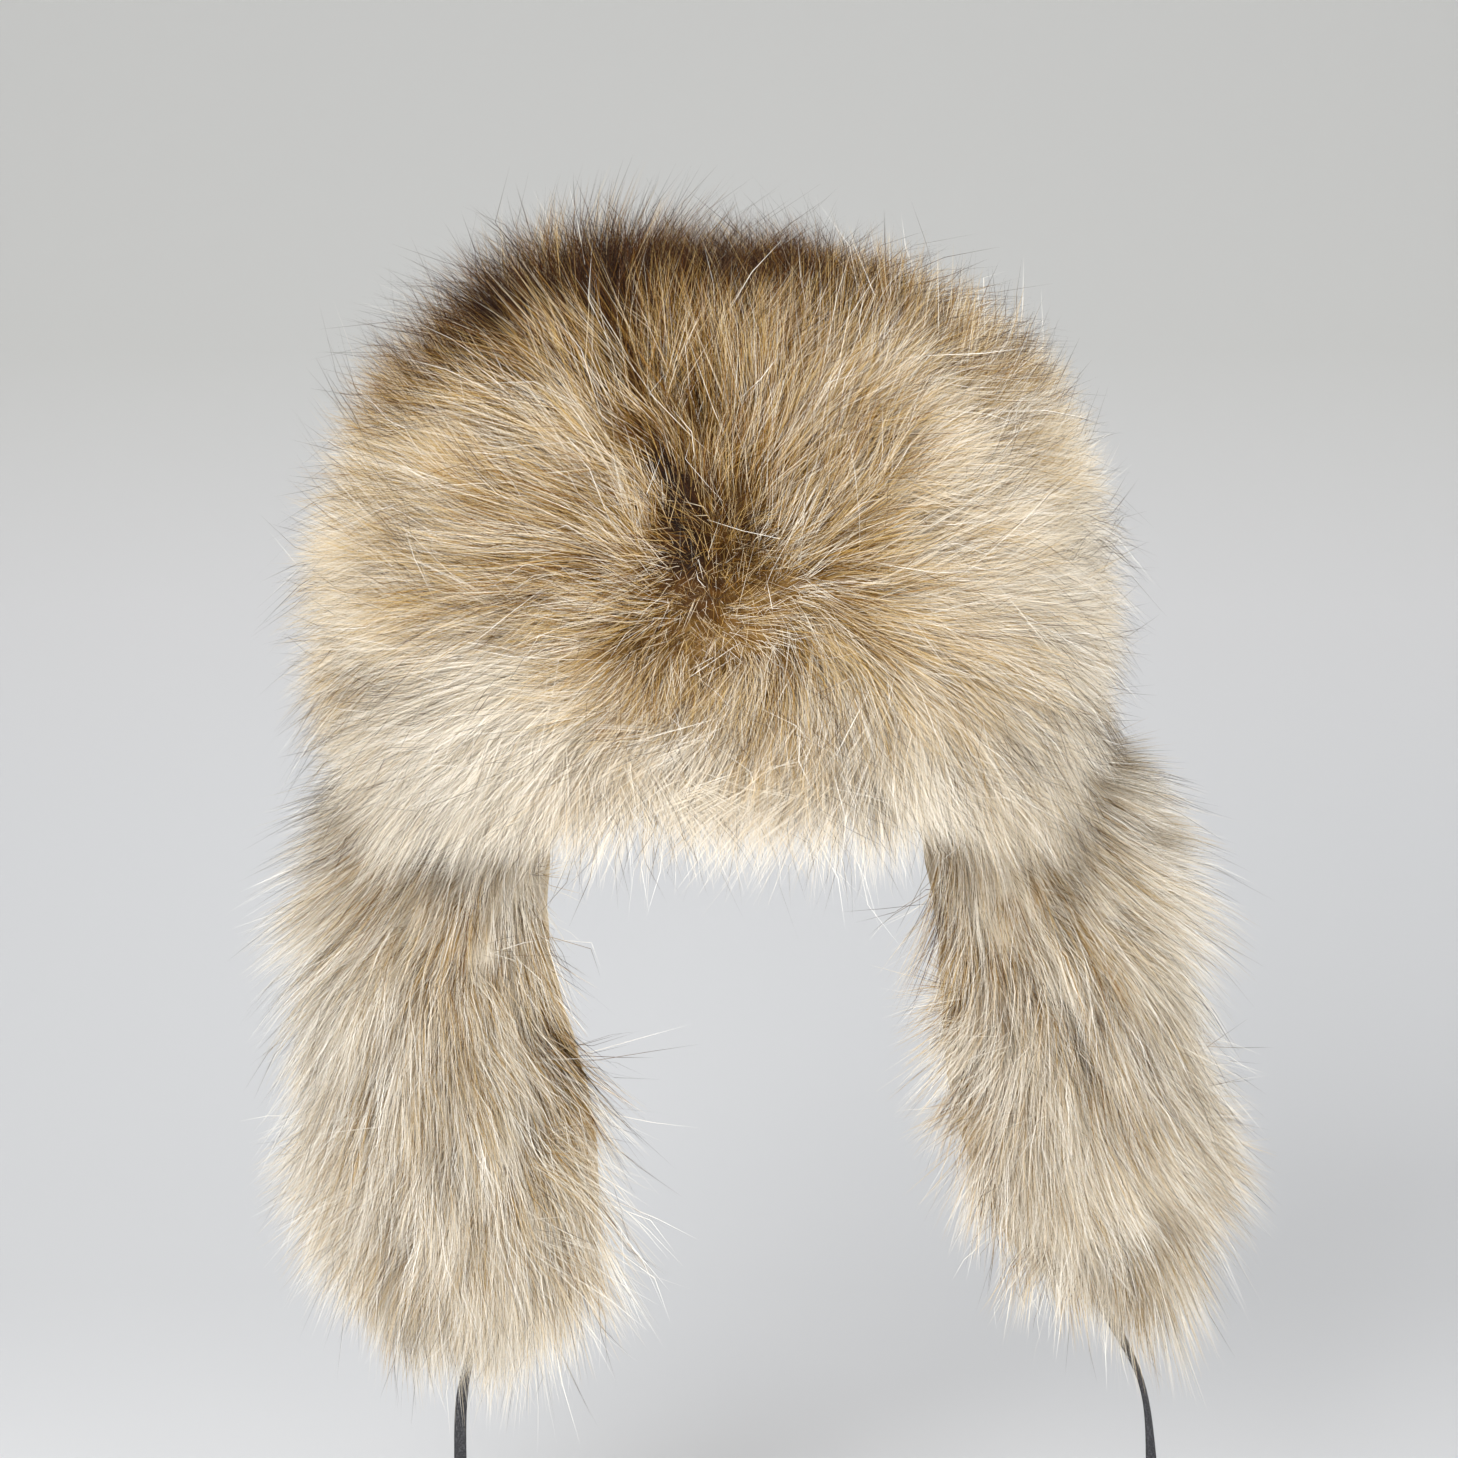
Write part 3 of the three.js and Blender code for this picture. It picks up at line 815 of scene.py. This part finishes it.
def fur_piece(name, region, material, nodes, width, **how):
    """One mesh of flat tapered strands."""
    seed = how["seed"]
    path, out, tint = strands(region, **how)
    inside = ((path > BOX[0] - OVER) & (path < BOX[1] + OVER)).all(axis=(1, 2))
    path, out, tint = path[inside], out[inside], tint[inside]
    rng = np.random.default_rng(seed + 100)
    count, knots = path.shape[:2]
    tangent = unit(np.gradient(path, axis=1))
    spin = rng.normal(0, SPIN, count)[:, None, None]
    flat = unit(np.cross(tangent, out[:, None, :]))
    lift = unit(np.cross(flat, tangent))
    wide = flat * np.cos(spin) + lift * np.sin(spin)
    face = np.cross(wide, tangent)
    flip = np.sign((face * out[:, None, :]).sum(-1, keepdims=True))
    flip[flip == 0] = 1
    wide = wide * flip[:, :1]
    t = np.linspace(0, 1, knots)
    wider = WIDTHS["front"] + WIDTHS["behind"] * smooth(0.0, 0.08, path[:, :1, 1])
    each = rng.uniform(WIDTHS["least"], WIDTHS["most"], count)
    half = MM * width / 2 * wider * each[:, None] * (1 - WIDTHS["less_at_tip"] * t**2)[None, :]
    left = path - wide * half[:, :, None]
    right = path + wide * half[:, :, None]
    # every knot but the last has two points, and the tip has one
    pairs = np.stack([left[:, :-1], right[:, :-1]], axis=2).reshape(count, -1, 3)
    points = np.concatenate([pairs, path[:, -1:]], axis=1)
    per = points.shape[1]
    quads = [(2 * k, 2 * k + 1, 2 * k + 3, 2 * k + 2) for k in range(knots - 2)]
    loops = [i for q in quads for i in q] + [per - 3, per - 2, per - 1]
    sizes = [4] * len(quads) + [3]
    base = (np.arange(count) * per)[:, None]
    corners = (base + np.array(loops)[None]).ravel()
    totals = np.tile(np.array(sizes), count)
    starts = np.concatenate([[0], np.cumsum(totals)[:-1]])
    mesh = bpy.data.meshes.new(name)
    mesh.vertices.add(count * per)
    mesh.vertices.foreach_set("co", points.astype(np.float32).ravel())
    mesh.loops.add(len(corners))
    mesh.loops.foreach_set("vertex_index", corners.astype(np.int32))
    mesh.polygons.add(len(totals))
    mesh.polygons.foreach_set("loop_start", starts.astype(np.int32))
    mesh.polygons.foreach_set("loop_total", totals.astype(np.int32))
    mesh.update(calc_edges=True)
    layer = mesh.uv_layers.new(name="OFBake")
    v = np.concatenate([np.repeat(t[:-1], 2), t[-1:]])
    uv = np.stack([np.repeat(tint[:, None], per, 1), np.repeat(v[None], count, 0)], axis=-1)
    layer.data.foreach_set("uv", uv.reshape(-1, 2)[corners].astype(np.float32).ravel())
    mesh.polygons.foreach_set("use_smooth", np.ones(len(totals), bool))
    soft = unit(SHADE_OUT * out[:, None, :] + SHADE_FACE * unit(np.cross(wide, tangent)))
    normals = np.concatenate([np.repeat(soft[:, :-1], 2, axis=1), soft[:, -1:]], axis=1)
    mesh.normals_split_custom_set_from_vertices(normals.reshape(-1, 3).astype(np.float32).tolist())
    mesh.materials.append(material)
    made = bpy.data.objects.new(name, mesh)
    scene.collection.objects.link(made)
    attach(made, "root")
    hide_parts(*nodes)


UNDERCOAT = {
    "depth": 0.52,
    "edge": 0.1,
    "above_hide": 0.0006,
    "fine": 0.0016,
    "coarse": 0.0022,
    "lean": 0.5,
}


def undercoat(name, region, material, node, columns, rows):
    """The dense short hair under the strands: a rough closed skin round the hide's outer side."""
    for part, (a0, a1, d0, d1) in enumerate(region.ranges):
        a, d = np.meshgrid(np.linspace(a0, a1, columns + 1), np.linspace(d0, d1, rows + 1))
        a, d = a.ravel(), d.ravel()
        skin, out, _, _ = region.frame(a, d)
        closed = a1 - a0 >= 360
        if d0 == 0 and closed:
            out[d == 0] = (0, 0, 1)
        i, j = np.meshgrid(np.linspace(0, 1, columns + 1), np.linspace(0, 1, rows + 1))
        i, j = i.ravel(), j.ravel()
        side = 1 if closed else smooth(0, UNDERCOAT["edge"], np.minimum(i, 1 - i))
        low = smooth(0, UNDERCOAT["edge"], 1 - j)
        deep = region.depth * region.taper(a, d) * UNDERCOAT["depth"]
        rough = UNDERCOAT["fine"] * ripple(skin, 0.012, 3) + UNDERCOAT["coarse"] * ripple(skin, 0.03, 4)
        lift = region.raise_by + UNDERCOAT["above_hide"] + (deep + rough) * side * (0.1 + 0.9 * low)
        points = skin + out * lift[:, None]
        points[:, 0] += region.lean * UNDERCOAT["lean"] * side * low
        n = columns + 1
        faces = []
        for r in range(rows):
            for c in range(columns):
                quad = (r * n + c, (r + 1) * n + c, (r + 1) * n + c + 1, r * n + c + 1)
                faces.append(quad if region.side > 0 else quad[::-1])
        tint = region.tint(skin + out * region.depth * TINT_OUT)
        tint = np.clip(tint + 0.05 * ripple(skin, 0.006, 8), 0.02, 0.98)
        # the undercoat takes mostly the roots' colour: partly its own tone, partly painted shade deep
        # in the fur
        v = np.clip(0.26 + 0.12 * ripple(skin, 0.004, 9), 0.05, 0.6)
        made = make_mesh(f"{name}_{part}" if part else name, points, faces, np.stack([tint, v], axis=1))
        made.data.polygons.foreach_set("use_smooth", np.ones(len(made.data.polygons), bool))
        made.data.materials.append(material)
        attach(made, "root")
        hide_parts(node)


fur = fur_material("fur_strands", False)
guard = fur_material("fur_guard_hair", True)
FUR = {
    "front_flap": {"pieces": 2, "strands": 42000, "guard": 10000, "light": 0.2, "grid": (120, 60)},
    "crown": {"pieces": 2, "strands": 38000, "guard": 8000, "light": 0.2, "grid": (120, 40)},
    "ear_flap_right": {"pieces": 1, "strands": 38000, "guard": 6500, "light": 0.7, "grid": (60, 80)},
    "ear_flap_left": {"pieces": 1, "strands": 38000, "guard": 6500, "light": 0.7, "grid": (60, 80)},
}
STRAND_WIDTH, GUARD_WIDTH = 0.24, 0.19  # in millimetres
GUARD_LOOKS = {"stray": 0.16, "long": 1.09, "knots": 5}
for k, (name, amount) in enumerate(FUR.items()):
    region, node = regions[name], f"{name}_fur"
    undercoat(f"{name}_undercoat", region, fur, node, *amount["grid"])
    for part in range(1, amount["pieces"] + 1):
        how = {"count": amount["strands"], "seed": 10 * k + part}
        fur_piece(f"{name}_strands_{part}", region, fur, [node], STRAND_WIDTH, **how)
    how = {"count": amount["guard"], "seed": 10 * k + 7, "light": amount["light"]}
    fur_piece(f"{name}_guard_hair", region, guard, [node], GUARD_WIDTH, **GUARD_LOOKS, **how)


# The hide walls keep the part's solids, with a tanned finish.
def hide_material():
    made, nodes, links, shader = node_material("tanned_hide", 0.8, 0.2)
    place = nodes.new("ShaderNodeTexCoord")
    cloud = nodes.new("ShaderNodeTexNoise")
    cloud.inputs["Scale"].default_value = 18
    cloud.inputs["Detail"].default_value = 6
    grain = nodes.new("ShaderNodeTexVoronoi")
    grain.inputs["Scale"].default_value = 900
    for texture in (cloud, grain):
        links.new(place.outputs["Object"], texture.inputs["Vector"])
    colours = ramp(nodes, [(0.3, (176, 156, 126)), (0.5, (200, 182, 152)), (0.72, (218, 203, 178))])
    links.new(cloud.outputs["Fac"], colours.inputs["Fac"])
    links.new(colours.outputs["Color"], shader.inputs["Base Color"])
    bump = nodes.new("ShaderNodeBump")
    bump.inputs["Strength"].default_value = 0.35
    bump.inputs["Distance"].default_value = 0.0004
    links.new(grain.outputs["Distance"], bump.inputs["Height"])
    links.new(bump.outputs["Normal"], shader.inputs["Normal"])
    return made


hide = hide_material()
for name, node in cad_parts.items():
    if name.endswith("_wall"):
        node.data.materials.clear()
        node.data.materials.append(hide)
        node.data.polygons.foreach_set("use_smooth", np.ones(len(node.data.polygons), bool))
        joined = node.modifiers.new("joined", "WELD")
        joined.merge_threshold = 0.01 * MM
        smoother = node.modifiers.new("smoother", "SUBSURF")
        smoother.levels = smoother.render_levels = 1


# Floor, backdrop and light.
def backdrop():
    """A sheet of paper under the hat that bends up behind it."""
    reach, floor, bend, back, top = 5.0, -0.47, 2.0, 2.6, 3.0
    profile = [(-reach, floor), (back - bend, floor)]
    profile += [
        (back - bend + bend * math.sin(t), floor + bend * (1 - math.cos(t)))
        for t in np.linspace(0, math.pi / 2, 16)[1:]
    ]
    profile.append((back, top))
    points = [(x, y, z) for y, z in profile for x in (-reach, reach)]
    faces = [(2 * k, 2 * k + 1, 2 * k + 3, 2 * k + 2) for k in range(len(profile) - 1)]
    made = make_mesh("studio_floor", points, faces)
    made.data.polygons.foreach_set("use_smooth", np.ones(len(faces), bool))
    material, nodes, links, shader = node_material("studio_paper", 0.9, 0.1)
    place = nodes.new("ShaderNodeTexCoord")
    split = nodes.new("ShaderNodeSeparateXYZ")
    height = nodes.new("ShaderNodeMapRange")
    height.inputs["From Min"].default_value = floor
    height.inputs["From Max"].default_value = floor + 0.5
    # painted light: the paper is lighter on the floor, which the lamps light less, and darker up the
    # backdrop
    grey = [
        (0.0, (224, 225, 227)),
        (0.3, (221, 222, 224)),
        (0.6, (219, 219, 220)),
        (1.0, (208, 208, 206)),
    ]
    shades = ramp(nodes, grey)
    links.new(place.outputs["Object"], split.inputs[0])
    links.new(split.outputs["Z"], height.inputs["Value"])
    links.new(height.outputs["Result"], shades.inputs["Fac"])
    links.new(shades.outputs["Color"], shader.inputs["Base Color"])
    made.data.materials.append(material)


def lamp(name, place, size, power, tone):
    """A square lamp that faces the hat."""
    light = bpy.data.lights.new(name, "AREA")
    light.shape = "RECTANGLE"
    light.size = light.size_y = size
    light.energy = power
    light.color = tone
    made = bpy.data.objects.new(name, light)
    scene.collection.objects.link(made)
    made.location = place
    made.rotation_euler = (AIM - Vector(place)).to_track_quat("-Z", "Y").to_euler()


backdrop()
WARM, WHITE = (1.0, 1.0, 0.995), (1.0, 1.0, 1.0)
lamp("key_light", place=(-0.9, -2.0, 0.7), size=1.2, power=53, tone=WARM)
lamp("fill_light", place=(1.4, -1.8, 0.1), size=1.2, power=31, tone=WARM)
lamp("top_light", place=(0.0, 0.1, 1.8), size=1.6, power=12, tone=WHITE)
world = bpy.data.worlds.new("studio")
world.use_nodes = True
world.node_tree.nodes["Background"].inputs["Color"].default_value = (0.95, 0.955, 0.96, 1)
world.node_tree.nodes["Background"].inputs["Strength"].default_value = 0.45
scene.world = world
scene.view_settings.view_transform = "Standard"
scene.view_settings.look = "None"
